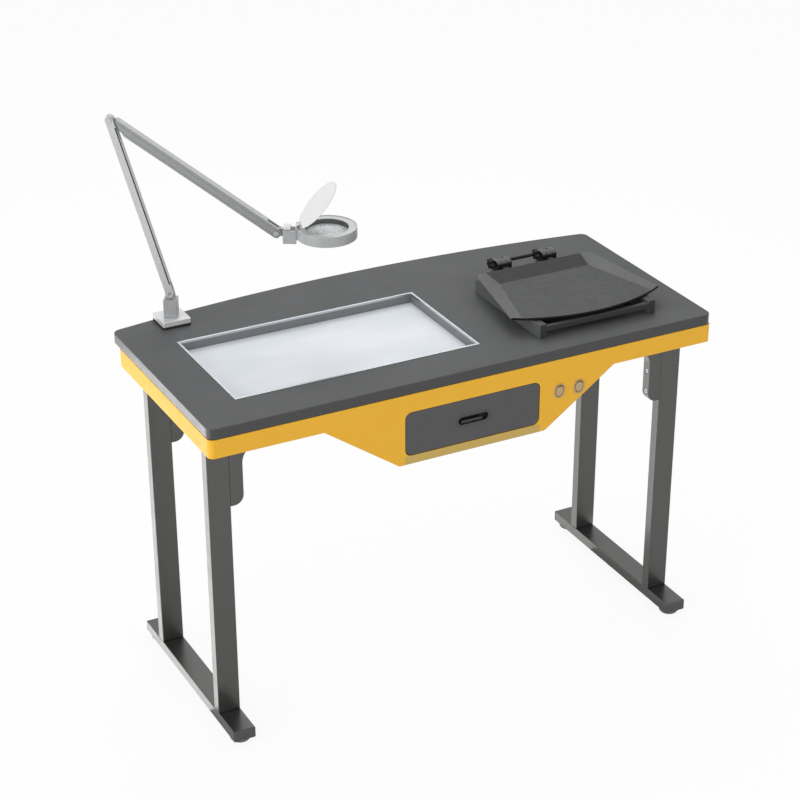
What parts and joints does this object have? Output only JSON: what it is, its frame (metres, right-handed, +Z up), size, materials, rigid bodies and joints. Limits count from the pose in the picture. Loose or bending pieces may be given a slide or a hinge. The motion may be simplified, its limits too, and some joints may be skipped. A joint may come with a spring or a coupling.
{
  "type": "laboratory inspection bench",
  "caption": "Free-standing inspection bench with a sunken light tray, a drawer, rocker switches, a tipping sample pan and a jointed magnifier lamp.",
  "frame": {"origin": "on the floor under the middle of the whole bench", "axes": "+Z up, +X along the front towards the sample pan, +Y from the front to the bowed back edge"},
  "size_m": [1.2, 0.5872, 1.2376],
  "materials": {
    "worktop_dark": "fine matt",
    "apron_yellow": "satin powder coat",
    "leg_grey": "fine matt powder coat",
    "sheet_grey": "matt",
    "rim_silver": "satin anodised",
    "galvanised": "satin",
    "diffuser_white": "frosted",
    "led_board": "matt",
    "black_plastic": "matt",
    "drawer_dark": "fine matt",
    "rocker_pale": "satin",
    "black_rubber": "matt",
    "lamp_silver": "satin",
    "lamp_grey": "satin",
    "lens_glass": "clear polished",
    "cover_white": "satin",
    "pan_dark": "matt",
    "steel": "satin"
  },
  "bodies": {
    "frame": {"worktop": "worktop_dark", "front_panel": "apron_yellow", "side_panels": "apron_yellow", "rear_panel": "apron_yellow", "floor_pan": "sheet_grey", "cross_rails": "sheet_grey", "drawer_housing": "sheet_grey", "tray_rim": "rim_silver", "lightbox_pan": "sheet_grey", "diffuser": "diffuser_white", "led_strips": "led_board", "led_driver": "galvanised", "mains_inlet": "black_plastic", "runners_fixed": "galvanised", "switch_bezels": "black_plastic", "switch_bodies": "black_plastic", "leg_front_left": "leg_grey", "leg_back_left": "leg_grey", "leg_front_right": "leg_grey", "leg_back_right": "leg_grey", "foot_beam_left": "leg_grey", "foot_beam_right": "leg_grey", "beam_caps": "black_plastic", "brackets_left": "leg_grey", "brackets_right": "leg_grey", "bracket_bolts": "steel", "foot_nuts": "steel", "lamp_pad": "black_rubber", "lamp_base": "lamp_silver", "lamp_bolts": "steel", "pan_stand": "black_plastic", "hinge_posts": "black_plastic", "hinge_rod": "steel"},
    "drawer": {"drawer_front": "drawer_dark", "drawer_pull": "black_plastic", "drawer_box": "sheet_grey", "runners_moving": "galvanised"},
    "rocker_left": {"rocker_left": "rocker_pale"},
    "rocker_right": {"rocker_right": "rocker_pale"},
    "foot_front_left": {"foot_front_left": "black_rubber"},
    "foot_back_left": {"foot_back_left": "black_rubber"},
    "foot_front_right": {"foot_front_right": "black_rubber"},
    "foot_back_right": {"foot_back_right": "black_rubber"},
    "swivel": {"lamp_swivel": "lamp_grey", "shoulder_pin": "steel"},
    "lower_arm": {"lower_arm": "lamp_silver", "elbow_pin": "steel"},
    "upper_arm": {"upper_arm": "lamp_silver", "head_pin": "steel"},
    "lens_head": {"head_block": "lamp_grey", "head_cap": "cover_white", "ring_housing": "lamp_silver", "ring_lens": "lens_glass", "ring_light": "diffuser_white", "cover_pin": "steel"},
    "lens_cover": {"lens_cover": "cover_white"},
    "pan": {"sample_pan": "pan_dark", "pan_lip": "black_plastic"},
    "knob_left": {"knob_left": "black_plastic"},
    "knob_right": {"knob_right": "black_plastic"}
  },
  "joints": [
    {"name": "drawer_slide", "type": "slide", "parent": "frame", "child": "drawer", "axis": [0, -1, 0], "range_m": [0, 0.26]},
    {"name": "left_rocker_tilt", "type": "hinge", "parent": "frame", "child": "rocker_left", "pos_m": [0.211, -0.28445, 0.6685], "axis": [-1, 0, 0], "range_deg": [0, 20]},
    {"name": "right_rocker_tilt", "type": "hinge", "parent": "frame", "child": "rocker_right", "pos_m": [0.26, -0.28445, 0.6685], "axis": [-1, 0, 0], "range_deg": [0, 20]},
    {"name": "foot_front_left_screw", "type": "slide", "parent": "frame", "child": "foot_front_left", "axis": [0, 0, -1], "range_m": [0, 0.012]},
    {"name": "foot_back_left_screw", "type": "slide", "parent": "frame", "child": "foot_back_left", "axis": [0, 0, -1], "range_m": [0, 0.012]},
    {"name": "foot_front_right_screw", "type": "slide", "parent": "frame", "child": "foot_front_right", "axis": [0, 0, -1], "range_m": [0, 0.012]},
    {"name": "foot_back_right_screw", "type": "slide", "parent": "frame", "child": "foot_back_right", "axis": [0, 0, -1], "range_m": [0, 0.012]},
    {"name": "lamp_swivel_turn", "type": "hinge", "parent": "frame", "child": "swivel", "pos_m": [-0.468, 0.22455, 0.785], "axis": [0, 0, 1], "range_deg": [-120, 120]},
    {"name": "shoulder_tilt", "type": "hinge", "parent": "swivel", "child": "lower_arm", "pos_m": [-0.468, 0.22455, 0.838], "axis": [0.5299, 0.848, 0], "range_deg": [-25, 25]},
    {"name": "elbow_fold", "type": "hinge", "parent": "lower_arm", "child": "upper_arm", "pos_m": [-0.55863, 0.28118, 1.22865], "axis": [-0.5299, -0.848, 0], "range_deg": [-12, 60]},
    {"name": "head_tilt", "type": "hinge", "parent": "upper_arm", "child": "lens_head", "pos_m": [-0.26722, 0.09909, 0.98714], "axis": [-0.5299, -0.848, 0], "range_deg": [-40, 45]},
    {"name": "cover_flip", "type": "hinge", "parent": "lens_head", "child": "lens_cover", "pos_m": [-0.2338, 0.06325, 1.00764], "axis": [0.342, 0.9397, 0], "range_deg": [-42, 48]},
    {"name": "pan_tip", "type": "hinge", "parent": "frame", "child": "pan", "pos_m": [0.343, 0.08855, 0.815], "axis": [-1, 0, 0], "range_deg": [0, 70]},
    {"name": "left_knob_turn", "type": "hinge", "parent": "frame", "child": "knob_left", "pos_m": [0.254, 0.08855, 0.815], "axis": [1, 0, 0], "continuous": true},
    {"name": "right_knob_turn", "type": "hinge", "parent": "frame", "child": "knob_right", "pos_m": [0.372, 0.08855, 0.815], "axis": [1, 0, 0], "continuous": true}
  ]
}
